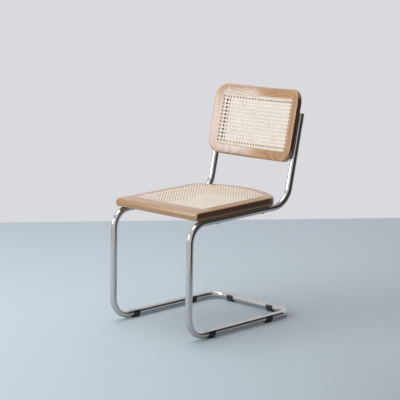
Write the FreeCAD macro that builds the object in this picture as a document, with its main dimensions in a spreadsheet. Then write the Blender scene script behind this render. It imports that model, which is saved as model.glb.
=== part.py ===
import FreeCAD, Part
import math
import os
import Sketcher

doc = FreeCAD.newDocument("cantilever_chair")
Vec = FreeCAD.Vector
X_AXIS = Vec(1, 0, 0)
Y_AXIS = Vec(0, 1, 0)
Z_AXIS = Vec(0, 0, 1)

# Driving dimensions, in millimetres and degrees
SIZES = [
    ("tube_radius", 12.5),
    ("tube_wall", 2.0),
    ("tube_half_spacing", 206.5),
    ("floor_front_y", -305.9),
    ("floor_rear_y", 216.1),
    ("floor_tube_height", 16.0),
    ("seat_front_y", -288.9),
    ("seat_front_height", 419.0),
    ("seat_rear_y", 194.6),
    ("seat_rear_height", 428.0),
    ("upright_rake", 13.8),
    ("upright_length", 341.0),
    ("rear_seat_bend", 84.0),
    ("front_seat_bend", 70.0),
    ("front_floor_bend", 70.0),
    ("rear_floor_bend", 58.0),
    ("glide_wall", 2.6),
    ("glide_length", 30.0),
    ("glide_opening", 100.0),
    ("glide_sole_half", 8.3),
    ("glide_front_y", -199.4),
    ("glide_rear_y", 92.6),
    ("glide_bar_spacing", 107.0),
    ("glide_peg_radius", 2.4),
    ("plug_depth", 18.0),
    ("plug_cap", 2.4),
    ("seat_half_width", 221.0),
    ("seat_front_edge", -271.0),
    ("seat_rear_edge", 195.0),
    ("seat_thickness", 30.0),
    ("seat_rear_radius", 368.0),
    ("seat_corner_radius", 58.0),
    ("seat_nose_top", 13.0),
    ("seat_nose_bottom", 9.0),
    ("seat_edge_round", 6.0),
    ("front_rail_depth", 82.6),
    ("side_rail_length", 131.0),
    ("seat_visible_wood", 35.0),
    ("front_visible_wood", 66.1),
    ("cane_lip", 12.0),
    ("cane_corner", 10.0),
    ("groove_width", 4.5),
    ("groove_depth", 6.0),
    ("cane_thickness", 1.2),
    ("spline_stand", 0.5),
    ("back_half_width", 218.5),
    ("back_bottom", 154.5),
    ("back_height", 272.5),
    ("back_corner_radius", 54.0),
    ("back_opening_radius", 12.0),
    ("back_curve_radius", 630.0),
    ("back_thickness", 24.0),
    ("back_saddle", 0.5),
    ("back_visible_wood", 35.0),
    ("back_joint_x", 160.0),
    ("back_edge_round", 6.5),
    ("dowel_radius", 4.0),
    ("dowel_length", 40.0),
    ("seat_dowel_height", 12.0),
    ("small_dowel_radius", 3.0),
    ("small_dowel_length", 32.0),
    ("bolt_radius", 3.0),
    ("bolt_head_radius", 5.5),
    ("bolt_head_height", 3.0),
    ("insert_radius", 4.5),
    ("insert_length", 15.0),
    ("seat_bolt_front_y", -157.4),
    ("seat_bolt_rear_y", 68.6),
    ("back_bolt_low", 196.0),
    ("back_bolt_high", 312.0),
]

sheet = doc.addObject("Spreadsheet::Sheet", "Sizes")
for row, (alias, value) in enumerate(SIZES, start=1):
    sheet.set("A%d" % row, alias)
    sheet.set("B%d" % row, str(value))
    sheet.setAlias("B%d" % row, alias)
doc.recompute()


def size(alias):
    """Value of one driving dimension."""
    return float(sheet.get(alias))


def bind(obj, prop, formula):
    """Tie a property to the sheet, each word of the formula that is an alias being a cell."""
    words = formula.split()
    names = [alias for alias, value in SIZES]
    bound = ["Sizes." + word if word in names else word for word in words]
    obj.setExpression(prop, " ".join(bound))


NODES = {}


def node(obj, name, place=None):
    """Name a finished sub-part and put it where it belongs on the chair."""
    obj.Label = name
    if place is not None:
        obj.Placement = place
    NODES[name] = obj
    return obj


def feature(name, shape):
    """A plain shape, for forms that no parametric feature makes."""
    obj = doc.addObject("Part::Feature", name)
    obj.Shape = shape
    return obj


def cylinder(name, radius, height, base, axis):
    """Cylinder whose radius and height are formulas of the sheet."""
    obj = doc.addObject("Part::Cylinder", name)
    bind(obj, "Radius", radius)
    bind(obj, "Height", height)
    obj.Placement = FreeCAD.Placement(base, FreeCAD.Rotation(Z_AXIS, axis))
    return obj


def group(name, members):
    """Several separate solids kept together."""
    obj = doc.addObject("Part::Compound", name)
    obj.Links = members
    return obj


def cut(name, base, tool):
    """Base with the tool's space taken away."""
    obj = doc.addObject("Part::Cut", name)
    obj.Base = base
    obj.Tool = tool
    return obj


def fuse(name, members):
    """Members joined to one solid."""
    obj = doc.addObject("Part::MultiFuse", name)
    obj.Shapes = members
    return obj


def common(name, members):
    """Space that all members share."""
    obj = doc.addObject("Part::MultiCommon", name)
    obj.Shapes = members
    return obj


def new_body(name):
    return doc.addObject("PartDesign::Body", name)


def new_sketch(body, role, name):
    """Sketch on one of the body's own origin planes."""
    sketch = body.newObject("Sketcher::SketchObject", name)
    plane = [item for item in body.Origin.OriginFeatures if item.Role == role][0]
    sketch.AttachmentSupport = (plane, [""])
    sketch.MapMode = "FlatFace"
    return sketch


def tangent_arc(before, corner, after, radius):
    """Start, middle and end of the arc that rounds a corner."""
    back = (before - corner).normalize()
    ahead = (after - corner).normalize()
    half_angle = back.getAngle(ahead) / 2
    reach = radius / math.tan(half_angle)
    inward = (back + ahead).normalize()
    centre = corner + inward * (radius / math.sin(half_angle))
    start = corner + back * reach
    end = corner + ahead * reach
    middle = centre - inward * radius
    return start, middle, end


def rounded_path(points, radii, closed=False):
    """Straight runs joined by tangent arcs, one radius for each inner corner."""
    edges = []
    count = len(points)
    corners = range(count) if closed else range(1, count - 1)
    arcs = []
    for index in corners:
        radius = radii[index] if closed else radii[index - 1]
        arcs.append(tangent_arc(points[index - 1], points[index], points[(index + 1) % count], radius))
    cursor = arcs[-1][2] if closed else points[0]
    for start, middle, end in arcs:
        if start.distanceToPoint(cursor) > 1e-6:
            edges.append(Part.LineSegment(cursor, start).toShape())
        edges.append(Part.Arc(start, middle, end).toShape())
        cursor = end
    if not closed:
        edges.append(Part.LineSegment(cursor, points[-1]).toShape())
    return Part.Wire(edges)


def ring_face(outer, inner):
    """Flat face between two closed wires in one plane."""
    return Part.Face(outer).cut(Part.Face(inner))


def edge_names(shape, test):
    """Names of the edges whose middle passes the test."""
    names = []
    for index, edge in enumerate(shape.Edges, start=1):
        middle = edge.valueAt((edge.FirstParameter + edge.LastParameter) / 2)
        if test(middle):
            names.append("Edge%d" % index)
    return names


def round_edges(body, name, base, radius_alias, test):
    """Round the edges of a body that pass the test."""
    doc.recompute()
    fillet = body.newObject("PartDesign::Fillet", name)
    fillet.Base = (base, edge_names(base.Shape, test))
    bind(fillet, "Radius", radius_alias)
    return fillet


def pad(body, name, sketch, length, midplane=True):
    solid = body.newObject("PartDesign::Pad", name)
    solid.Profile = sketch
    bind(solid, "Length", length)
    solid.Midplane = midplane
    return solid


TUBE_R = size("tube_radius")
BORE_R = TUBE_R - size("tube_wall")
SIDE_X = size("tube_half_spacing")
RAKE = math.radians(size("upright_rake"))
SEAT_FRONT = Vec(SIDE_X, size("seat_front_y"), size("seat_front_height"))
SEAT_REAR = Vec(SIDE_X, size("seat_rear_y"), size("seat_rear_height"))
UPRIGHT = Vec(0, math.sin(RAKE), math.cos(RAKE))

# Seat pieces are drawn flat, with the underside of the wood at zero height, then laid on the side tubes
SLOPE = math.atan2(SEAT_REAR.z - SEAT_FRONT.z, SEAT_REAR.y - SEAT_FRONT.y)
rail_height = SEAT_FRONT.z - SEAT_FRONT.y * math.tan(SLOPE) + TUBE_R / math.cos(SLOPE)
SEAT_PLACE = FreeCAD.Placement(Vec(0, 0, rail_height), FreeCAD.Rotation(X_AXIS, math.degrees(SLOPE)))

# Back pieces are drawn upright round the uprights' plane, then leant with them
BACK_PLACE = FreeCAD.Placement(Vec(0, SEAT_REAR.y, SEAT_REAR.z), FreeCAD.Rotation(X_AXIS, -math.degrees(RAKE)))


def mirrored(point):
    return Vec(-point.x, point.y, point.z)


def frame_tube():
    """One continuous tube: upright, seat rail, leg and floor rail on each side, and a bar across the rear."""
    floor = size("floor_tube_height")
    right = [
        SEAT_REAR + UPRIGHT * size("upright_length"),
        SEAT_REAR,
        SEAT_FRONT,
        Vec(SIDE_X, size("floor_front_y"), floor),
        Vec(SIDE_X, size("floor_rear_y"), floor),
    ]
    left = [mirrored(point) for point in reversed(right)]
    bends = ["rear_seat_bend", "front_seat_bend", "front_floor_bend", "rear_floor_bend"]
    radii = [size(alias) for alias in bends + bends[::-1]]
    spine = feature("tube_centre_line", rounded_path(right + left, radii))
    spine_edges = ["Edge%d" % index for index in range(1, len(spine.Shape.Edges) + 1)]
    sweeps = []
    for name, radius in (("tube_outside", "tube_radius"), ("tube_bore", "tube_radius - tube_wall")):
        section = doc.addObject("Part::Circle", name + "_section")
        bind(section, "Radius", radius)
        section.Placement = FreeCAD.Placement(right[0], FreeCAD.Rotation(Z_AXIS, UPRIGHT))
        sweep = doc.addObject("Part::Sweep", name)
        sweep.Sections = [section]
        sweep.Spine = (spine, spine_edges)
        sweep.Solid = True
        sweeps.append(sweep)
    tube = cut("open_tube", *sweeps)
    node(cut("drilled_tube", tube, group("tube_holes", tube_holes())), "frame_tube")


def seat_bolt_spots():
    return [
        Vec(side * SIDE_X, size(along), 0)
        for side in (-1, 1)
        for along in ("seat_bolt_front_y", "seat_bolt_rear_y")
    ]


def back_bolt_spots():
    return [
        Vec(side * SIDE_X, 0, size(up))
        for side in (-1, 1)
        for up in ("back_bolt_low", "back_bolt_high")
    ]


def glide_spots():
    """Name, point under the tube's centre line and turn about the vertical, for each glide."""
    spots = []
    for side, x in (("left", -SIDE_X), ("right", SIDE_X)):
        spots.append(("front_%s_glide" % side, Vec(x, size("glide_front_y"), 0), 0))
        spots.append(("rear_%s_glide" % side, Vec(x, size("glide_rear_y"), 0), 0))
    reach = size("glide_bar_spacing")
    for side, x in (("left", -reach), ("right", reach)):
        spots.append(("bar_%s_glide" % side, Vec(x, size("floor_rear_y"), 0), 90))
    return spots


def tube_holes():
    """Bolt holes through the seat rails and uprights, and a peg hole over each glide."""
    holes = []
    depth = "4 * tube_radius"
    for spot in seat_bolt_spots():
        start = SEAT_PLACE.multVec(spot + Vec(0, 0, -3 * TUBE_R))
        axis = SEAT_PLACE.Rotation.multVec(Z_AXIS)
        holes.append(cylinder("seat_bolt_hole", "bolt_radius", depth, start, axis))
    for spot in back_bolt_spots():
        start = BACK_PLACE.multVec(spot + Vec(0, 2 * TUBE_R, 0))
        axis = BACK_PLACE.Rotation.multVec(Y_AXIS * -1)
        holes.append(cylinder("back_bolt_hole", "bolt_radius", depth, start, axis))
    for name, spot, turn in glide_spots():
        holes.append(cylinder("glide_peg_hole", "glide_peg_radius", "floor_tube_height", spot, Z_AXIS))
    return holes


def end_plug(name, side):
    """Plug with a stem in the tube's bore and a domed cap as wide as the tube."""
    body = new_body(name)
    sketch = new_sketch(body, "XZ_Plane", name + "_profile")
    stem = size("plug_depth")
    cap = size("plug_cap")
    rim = cap / 2
    outline = [Vec(0, -stem, 0), Vec(BORE_R, -stem, 0), Vec(BORE_R, 0, 0), Vec(TUBE_R, 0, 0), Vec(TUBE_R, rim, 0),
               Vec(TUBE_R - rim, cap, 0), Vec(0, cap, 0)]
    for start, end in zip(outline, outline[1:] + outline[:1]):
        sketch.addGeometry(Part.LineSegment(start, end))
    turned = body.newObject("PartDesign::Revolution", name + "_turned")
    turned.Profile = sketch
    turned.ReferenceAxis = (sketch, ["V_Axis"])
    turned.Angle = 360
    end = Vec(side * SIDE_X, 0, size("upright_length"))
    node(body, name, FreeCAD.Placement(BACK_PLACE.multVec(end), BACK_PLACE.Rotation))


def floor_glide(name, spot, turn):
    """Clip round the lower part of the tube, with a flat sole and a peg that snaps into the tube."""
    body = new_body(name + "_clip")
    sketch = new_sketch(body, "XZ_Plane", name + "_profile")
    centre = Vec(0, size("floor_tube_height"), 0)
    inner = TUBE_R
    outer = TUBE_R + size("glide_wall")
    gap = math.radians(size("glide_opening")) / 2
    sole = size("glide_sole_half")
    sole_angle = math.acos(sole / outer)
    sole_top = centre.y - outer * math.sin(sole_angle)
    arm_right = math.pi / 2 - gap
    arm_left = math.pi / 2 + gap
    sketch.addGeometry(Part.ArcOfCircle(Part.Circle(centre, Z_AXIS, inner), arm_left, arm_right + 2 * math.pi))
    sketch.addGeometry(Part.ArcOfCircle(Part.Circle(centre, Z_AXIS, outer), -sole_angle, arm_right))
    sketch.addGeometry(Part.ArcOfCircle(Part.Circle(centre, Z_AXIS, outer), arm_left, math.pi + sole_angle))
    for angle in (arm_left, arm_right):
        ray = Vec(math.cos(angle), math.sin(angle), 0)
        sketch.addGeometry(Part.LineSegment(centre + ray * inner, centre + ray * outer))
    for side in (-1, 1):
        sketch.addGeometry(Part.LineSegment(Vec(side * sole, sole_top, 0), Vec(side * sole, 0, 0)))
    sketch.addGeometry(Part.LineSegment(Vec(-sole, 0, 0), Vec(sole, 0, 0)))
    pad(body, name + "_pad", sketch, "glide_length")
    peg_base = Vec(0, 0, centre.y - outer)
    peg = cylinder(name + "_peg", "glide_peg_radius", "glide_wall + 2 * tube_wall", peg_base, Z_AXIS)
    place = FreeCAD.Placement(spot, FreeCAD.Rotation(Z_AXIS, turn))
    node(fuse(name + "_solid", [body, peg]), name, place)


SEAT_TOP = size("seat_thickness")
SEAT_HALF = size("seat_half_width")
FRONT_RAIL_REAR = size("seat_front_edge") + size("front_rail_depth")
SIDE_RAIL_REAR = FRONT_RAIL_REAR + size("side_rail_length")
SEAT_MEMBER = size("seat_visible_wood") + size("groove_width") + size("cane_lip")
REAR_CENTRE = size("seat_rear_edge") - size("seat_rear_radius")
CORNER_X = SEAT_HALF - size("seat_corner_radius")
centre_gap = size("seat_rear_radius") - size("seat_corner_radius")
CORNER_Y = REAR_CENTRE + math.sqrt(centre_gap ** 2 - CORNER_X ** 2)
CORNER_ANGLE = math.atan2(CORNER_Y - REAR_CENTRE, CORNER_X)


def seat_rear_arcs(inset):
    """Right corner, rear and left corner arcs of the seat's outline, drawn in by the inset."""
    corner = size("seat_corner_radius") - inset
    rear = size("seat_rear_radius") - inset
    right = Part.Circle(Vec(CORNER_X, CORNER_Y, 0), Z_AXIS, corner)
    middle = Part.Circle(Vec(0, REAR_CENTRE, 0), Z_AXIS, rear)
    left = Part.Circle(Vec(-CORNER_X, CORNER_Y, 0), Z_AXIS, corner)
    return [
        Part.ArcOfCircle(right, 0, CORNER_ANGLE),
        Part.ArcOfCircle(middle, CORNER_ANGLE, math.pi - CORNER_ANGLE),
        Part.ArcOfCircle(left, math.pi - CORNER_ANGLE, math.pi),
    ]


def seat_loop(inset, front, front_radius, height):
    """Closed outline of the seat drawn in by the inset, with its front edge at a given place."""
    x = SEAT_HALF - inset
    front_path = rounded_path(
        [Vec(-x, CORNER_Y, 0), Vec(-x, front, 0), Vec(x, front, 0), Vec(x, CORNER_Y, 0)],
        [front_radius, front_radius],
    )
    edges = [arc.toShape() for arc in seat_rear_arcs(inset)] + front_path.Edges
    loop = Part.Wire(Part.__sortEdges__(edges))
    loop.translate(Vec(0, 0, height))
    return loop


def seat_ring(inset, width, bottom, top):
    """Ring of the seat's outline shape that starts at the inset and is as wide as given."""
    front = size("seat_front_edge") + size("front_visible_wood") + inset - size("seat_visible_wood")
    radius = size("seat_visible_wood") + size("groove_width") - inset + size("cane_corner")
    outer = seat_loop(inset, front, radius, bottom)
    inner = seat_loop(inset + width, front + width, radius - width, bottom)
    return ring_face(outer, inner).extrude(Vec(0, 0, top - bottom))


def seat_front_rail():
    """Wide front rail with a bullnose, its ends showing at the sides of the seat."""
    body = new_body("front_rail_body")
    sketch = new_sketch(body, "YZ_Plane", "front_rail_profile")
    front = size("seat_front_edge")
    corners = [
        Vec(FRONT_RAIL_REAR, 0, 0),
        Vec(front, 0, 0),
        Vec(front, SEAT_TOP, 0),
        Vec(FRONT_RAIL_REAR, SEAT_TOP, 0),
    ]
    profile = rounded_path(corners, [size("seat_nose_bottom"), size("seat_nose_top")])
    for edge in profile.Edges:
        if edge.Curve.TypeId == "Part::GeomCircle":
            sketch.addGeometry(Part.Arc(edge.valueAt(edge.FirstParameter),
                                        edge.valueAt((edge.FirstParameter + edge.LastParameter) / 2),
                                        edge.valueAt(edge.LastParameter)))
        else:
            sketch.addGeometry(Part.LineSegment(edge.Vertexes[0].Point, edge.Vertexes[1].Point))
    sketch.addGeometry(Part.LineSegment(corners[3], corners[0]))
    rail = pad(body, "front_rail_pad", sketch, "2 * seat_half_width")
    round_edges(body, "front_rail_ends", rail, "seat_edge_round",
                lambda p: abs(p.x) > SEAT_HALF - 0.01 and p.y < FRONT_RAIL_REAR - 0.01)
    return body


def seat_side_rail(side):
    """Straight rail between the front rail and the rear bow."""
    name = "left" if side < 0 else "right"
    body = new_body(name + "_side_rail_body")
    sketch = new_sketch(body, "XY_Plane", name + "_side_rail_plan")
    inner = side * (SEAT_HALF - SEAT_MEMBER)
    outer = side * SEAT_HALF
    corners = [
        Vec(inner, FRONT_RAIL_REAR, 0),
        Vec(outer, FRONT_RAIL_REAR, 0),
        Vec(outer, SIDE_RAIL_REAR, 0),
        Vec(inner, SIDE_RAIL_REAR, 0),
    ]
    for start, end in zip(corners, corners[1:] + corners[:1]):
        sketch.addGeometry(Part.LineSegment(start, end))
    rail = pad(body, name + "_side_rail_pad", sketch, "seat_thickness", midplane=False)
    round_edges(body, name + "_side_rail_round", rail, "seat_edge_round",
                lambda p: abs(p.x - outer) < 0.01 and FRONT_RAIL_REAR + 1 < p.y < SIDE_RAIL_REAR - 1)
    return body


def seat_rear_bow():
    """Bent rear rail that turns both rear corners of the seat in one piece."""
    body = new_body("rear_bow_body")
    sketch = new_sketch(body, "XY_Plane", "rear_bow_plan")
    for inset in (0, SEAT_MEMBER):
        x = SEAT_HALF - inset
        for arc in seat_rear_arcs(inset):
            sketch.addGeometry(arc)
        for side in (-1, 1):
            sketch.addGeometry(Part.LineSegment(Vec(side * x, SIDE_RAIL_REAR, 0), Vec(side * x, CORNER_Y, 0)))
    for side in (-1, 1):
        outer = Vec(side * SEAT_HALF, SIDE_RAIL_REAR, 0)
        inner = Vec(side * (SEAT_HALF - SEAT_MEMBER), SIDE_RAIL_REAR, 0)
        sketch.addGeometry(Part.LineSegment(outer, inner))
    bow = pad(body, "rear_bow_pad", sketch, "seat_thickness", midplane=False)

    def on_outline(point):
        if abs(point.z - SEAT_TOP / 2) < SEAT_TOP / 2 - 0.01 or point.y < SIDE_RAIL_REAR + 1:
            return False
        mid_x = SEAT_HALF - SEAT_MEMBER / 2
        if point.y < CORNER_Y:
            return abs(point.x) > mid_x
        if abs(point.x) > CORNER_X and math.atan2(point.y - CORNER_Y, abs(point.x) - CORNER_X) < CORNER_ANGLE:
            return math.hypot(abs(point.x) - CORNER_X, point.y - CORNER_Y) > mid_x - CORNER_X
        return math.hypot(point.x, point.y - REAR_CENTRE) > size("seat_rear_radius") - SEAT_MEMBER / 2

    round_edges(body, "rear_bow_round", bow, "seat_edge_round", on_outline)
    return body


def seat_dowel_spots():
    """Middle of each dowel, two at every joint of the seat frame."""
    middle = SEAT_HALF - SEAT_MEMBER / 2
    apart = SEAT_MEMBER / 4
    return [
        Vec(side * middle + shift, joint, size("seat_dowel_height"))
        for joint in (FRONT_RAIL_REAR, SIDE_RAIL_REAR)
        for side in (-1, 1)
        for shift in (-apart, apart)
    ]


def seat_dowels(name):
    half = Vec(0, size("dowel_length") / 2, 0)
    return [cylinder(name, "dowel_radius", "dowel_length", spot - half, Y_AXIS) for spot in seat_dowel_spots()]


def seat_insert_blanks(name):
    return [cylinder(name, "insert_radius", "insert_length", spot, Z_AXIS) for spot in seat_bolt_spots()]


def seat_wood():
    """The four wooden pieces, each with its share of the groove, the dowel holes and the insert holes."""
    depth = SEAT_TOP - size("groove_depth")
    groove = feature("seat_groove", seat_ring(size("seat_visible_wood"), size("groove_width"), depth, SEAT_TOP + 1))
    pieces = [
        ("seat_front_rail", seat_front_rail()),
        ("seat_left_rail", seat_side_rail(-1)),
        ("seat_right_rail", seat_side_rail(1)),
        ("seat_rear_bow", seat_rear_bow()),
    ]
    holes = [groove] + seat_dowels("seat_dowel_hole") + seat_insert_blanks("seat_insert_hole")
    tools = group("seat_wood_cuts", holes)
    for name, body in pieces:
        node(cut(name + "_cut", body, tools), name, SEAT_PLACE)


def seat_web():
    """Cane web over the opening, its edge turned down into the groove, and the spline that holds it."""
    thick = size("cane_thickness")
    flange = size("seat_visible_wood") + size("groove_width") - thick
    depth = SEAT_TOP - size("groove_depth")
    front = size("seat_front_edge") + size("front_visible_wood") + size("groove_width") - thick
    outline = seat_loop(flange, front, size("cane_corner") + thick, SEAT_TOP)
    sheet_part = feature("seat_cane_sheet", Part.Face(outline).extrude(Vec(0, 0, thick)))
    edge_part = feature("seat_cane_edge", seat_ring(flange, thick, depth, SEAT_TOP + thick))
    node(fuse("seat_cane_web", [sheet_part, edge_part]), "seat_cane", SEAT_PLACE)
    top = SEAT_TOP + size("spline_stand")
    spline = seat_ring(size("seat_visible_wood"), size("groove_width") - thick, depth, top)
    node(feature("seat_spline_ring", spline), "seat_spline", SEAT_PLACE)


BACK_R = size("back_curve_radius")
REAR_R = BACK_R + size("back_thickness")
BACK_HALF = size("back_half_width")
BACK_LOW = size("back_bottom")
BACK_HIGH = BACK_LOW + size("back_height")
BACK_MEMBER = size("back_visible_wood") + size("groove_width") + size("cane_lip")
contact = REAR_R + TUBE_R - size("back_saddle")
CURVE_Y = -math.sqrt(contact ** 2 - SIDE_X ** 2)
FRONT_REACH = Vec(0, -100, 0)
THROUGH = FRONT_REACH * -2
SPARE = 10


def curved_shell(inner, outer):
    """Upright shell between two radii about the back's centre of curvature."""
    base = Vec(0, CURVE_Y, BACK_LOW - SPARE)
    height = size("back_height") + 2 * SPARE
    return Part.makeCylinder(outer, height, base).cut(Part.makeCylinder(inner, height, base))


def back_loop(inset):
    """Rounded rectangle of the back's outline drawn in by the inset, in front of the back."""
    x = BACK_HALF - inset
    low = BACK_LOW + inset
    high = BACK_HIGH - inset
    corners = [Vec(-x, 0, low), Vec(x, 0, low), Vec(x, 0, high), Vec(-x, 0, high)]
    radius = max(size("back_corner_radius") - inset, size("back_opening_radius"))
    loop = rounded_path(corners, [radius] * 4, closed=True)
    loop.translate(FRONT_REACH)
    return loop


def back_prism(inset, width=None):
    """The outline carried straight through the back, whole or as a ring of the given width."""
    face = Part.Face(back_loop(inset))
    if width is not None:
        face = face.cut(Part.Face(back_loop(inset + width)))
    return face.extrude(THROUGH)


def back_frame():
    """The whole curved frame with its rounded edges, before it is divided at the joints."""
    curve = feature("back_curve", curved_shell(BACK_R, REAR_R))
    outline = feature("back_outline", back_prism(0, BACK_MEMBER))
    blank = common("back_blank", [curve, outline])
    doc.recompute()
    rounded = doc.addObject("Part::Fillet", "back_rounded")
    rounded.Base = blank
    rounds = []
    for index, edge in enumerate(blank.Shape.Edges, start=1):
        middle = edge.valueAt((edge.FirstParameter + edge.LastParameter) / 2)
        reach = math.hypot(middle.x, middle.y - CURVE_Y)
        on_face = min(abs(reach - BACK_R), abs(reach - REAR_R)) < 0.01
        outside = (abs(middle.x) > BACK_HALF - BACK_MEMBER / 2 or middle.z < BACK_LOW + BACK_MEMBER / 2
                   or middle.z > BACK_HIGH - BACK_MEMBER / 2)
        if on_face and outside:
            rounds.append((index, size("back_edge_round"), size("back_edge_round")))
    rounded.Edges = rounds
    return rounded


def back_dowel_spots():
    """Middle and direction of each dowel, two at every joint of the back frame."""
    spots = []
    joint = size("back_joint_x")
    middle_r = (BACK_R + REAR_R) / 2
    turn = math.asin(joint / middle_r)
    for side in (-1, 1):
        along = Vec(math.cos(turn), -side * math.sin(turn), 0)
        for member in (BACK_LOW + BACK_MEMBER / 2, BACK_HIGH - BACK_MEMBER / 2):
            for shift in (-BACK_MEMBER / 4, BACK_MEMBER / 4):
                middle = Vec(side * joint, CURVE_Y + middle_r * math.cos(turn), member + shift)
                spots.append((middle, along))
    return spots


def back_dowels(name):
    half = size("small_dowel_length") / 2
    return [
        cylinder(name, "small_dowel_radius", "small_dowel_length", middle - along * half, along)
        for middle, along in back_dowel_spots()
    ]


def back_insert_blanks(name):
    start = Vec(0, -TUBE_R, 0)
    return [
        cylinder(name, "insert_radius", "insert_length", spot + start, Y_AXIS * -1)
        for spot in back_bolt_spots()
    ]


def back_wood():
    """Two stiles that take in the corners, and the top and bottom rails between them."""
    frame = back_frame()
    joint = size("back_joint_x")
    width = 2 * BACK_HALF
    low = BACK_LOW - SPARE
    tall = size("back_height") + 2 * SPARE
    half = tall / 2
    spaces = [
        ("back_left_stile", Vec(-joint - width, 0, low), width, tall),
        ("back_right_stile", Vec(joint, 0, low), width, tall),
        ("back_bottom_rail", Vec(-joint, 0, low), 2 * joint, half),
        ("back_top_rail", Vec(-joint, 0, low + half), 2 * joint, half),
    ]
    depth = size("groove_depth")
    ring = back_prism(size("back_visible_wood"), size("groove_width"))
    groove = feature("back_groove", curved_shell(BACK_R - 1, BACK_R + depth).common(ring))
    saddles = [
        cylinder("tube_saddle", "tube_radius", "upright_length + plug_cap", Vec(side * SIDE_X, 0, 0), Z_AXIS)
        for side in (-1, 1)
    ]
    holes = [groove] + saddles + back_dowels("back_dowel_hole") + back_insert_blanks("back_insert_hole")
    tools = group("back_wood_cuts", holes)
    for name, corner, wide, high in spaces:
        space = feature(name + "_space", Part.makeBox(wide, THROUGH.y, high, corner + FRONT_REACH))
        piece = common(name + "_piece", [frame, space])
        node(cut(name + "_cut", piece, tools), name, BACK_PLACE)


def back_web():
    """Curved cane web on the front of the back frame, and its spline."""
    thick = size("cane_thickness")
    flange = size("back_visible_wood") + size("groove_width") - thick
    floor_r = BACK_R + size("groove_depth")
    sheet_part = feature("back_cane_sheet", curved_shell(BACK_R - thick, BACK_R).common(back_prism(flange)))
    edge_ring = curved_shell(BACK_R - thick, floor_r).common(back_prism(flange, thick))
    edge_part = feature("back_cane_edge", edge_ring)
    node(fuse("back_cane_web", [sheet_part, edge_part]), "back_cane", BACK_PLACE)
    ring = back_prism(size("back_visible_wood"), size("groove_width") - thick)
    spline = curved_shell(BACK_R - size("spline_stand"), floor_r).common(ring)
    node(feature("back_spline_ring", spline), "back_spline", BACK_PLACE)


def bolt_head(name):
    """Domed head, turned about +Z, that starts below zero and reaches into the tube it will be hollowed to."""
    body = new_body(name)
    sketch = new_sketch(body, "XZ_Plane", name + "_profile")
    head = size("bolt_head_radius")
    low = -size("bolt_head_height")
    inside = size("tube_wall") * 2
    outline = [Vec(0, low, 0), Vec(0, inside, 0), Vec(head, inside, 0), Vec(head, low / 2, 0), Vec(head / 2, low, 0)]
    for start, end in zip(outline, outline[1:] + outline[:1]):
        sketch.addGeometry(Part.LineSegment(start, end))
    turned = body.newObject("PartDesign::Revolution", name + "_turned")
    turned.Profile = sketch
    turned.ReferenceAxis = (sketch, ["V_Axis"])
    turned.Angle = 360
    return body


def bolts(name, spots, tube_depth, direction, along, place):
    """Bolts pointing one way, their heads hollowed to sit on the far side of the tube."""
    placed = []
    turn = FreeCAD.Rotation(Z_AXIS, direction)
    for index, spot in enumerate(spots, start=1):
        one = "%s_%d" % (name, index)
        middle = spot - direction * tube_depth
        foot = middle - direction * TUBE_R
        head = bolt_head(one + "_head")
        head.Placement = FreeCAD.Placement(foot, turn)
        tube = cylinder(one + "_tube", "tube_radius", "4 * tube_radius", middle - along * 2 * TUBE_R, along)
        seated = cut(one + "_seated", head, tube)
        start = foot - direction * size("bolt_head_height") / 2
        length = "2 * tube_radius + insert_length + bolt_head_height / 2"
        shank = cylinder(one + "_shank", "bolt_radius", length, start, direction)
        placed.append(fuse(one, [seated, shank]))
    node(group(name + "_set", placed), name, place)


def inserts(name, blanks, spots, start, direction, place):
    """Threaded inserts, each a sleeve in the wood round its bolt."""
    placed = []
    for blank, spot in zip(blanks, spots):
        bore = cylinder(name + "_bore", "bolt_radius", "insert_length", spot + start, direction)
        placed.append(cut(name + "_sleeve", blank, bore))
    node(group(name + "_set", placed), name, place)


frame_tube()
end_plug("left_end_plug", -1)
end_plug("right_end_plug", 1)
for glide_name, glide_spot, glide_turn in glide_spots():
    floor_glide(glide_name, glide_spot, glide_turn)
seat_wood()
seat_web()
node(group("seat_dowel_set", seat_dowels("seat_dowel")), "seat_dowels", SEAT_PLACE)
bolts("seat_bolts", seat_bolt_spots(), TUBE_R, Z_AXIS, Y_AXIS, SEAT_PLACE)
inserts("seat_inserts", seat_insert_blanks("seat_insert"), seat_bolt_spots(), Vec(), Z_AXIS, SEAT_PLACE)
back_wood()
back_web()
node(group("back_dowel_set", back_dowels("back_dowel")), "back_dowels", BACK_PLACE)
bolts("back_bolts", back_bolt_spots(), 0, Y_AXIS * -1, Z_AXIS, BACK_PLACE)
insert_start = Vec(0, -TUBE_R, 0)
inserts("back_inserts", back_insert_blanks("back_insert"), back_bolt_spots(), insert_start, Y_AXIS * -1, BACK_PLACE)

doc.recompute()
for obj in doc.Objects:
    if "Invalid" in obj.State or "Error" in obj.State:
        raise RuntimeError("%s failed: %s" % (obj.Name, obj.State))
for name, obj in NODES.items():
    if obj.Shape.isNull() or not obj.Shape.isValid() or not obj.Shape.Solids:
        raise RuntimeError("%s has no valid solid" % name)

os.makedirs("parts", exist_ok=True)
for name, obj in NODES.items():
    obj.Shape.exportStep("parts/%s.step" % name)
    box = obj.Shape.BoundBox
    print("%-20s solids %2d volume %9.0f  x %7.1f %7.1f  y %7.1f %7.1f  z %7.1f %7.1f" % (
        name, len(obj.Shape.Solids), obj.Shape.Volume,
        box.XMin, box.XMax, box.YMin, box.YMax, box.ZMin, box.ZMax))
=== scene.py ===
import math

import bpy
from bpy.props import FloatProperty, FloatVectorProperty, IntProperty, PointerProperty
from mathutils import Matrix, Vector


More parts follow.
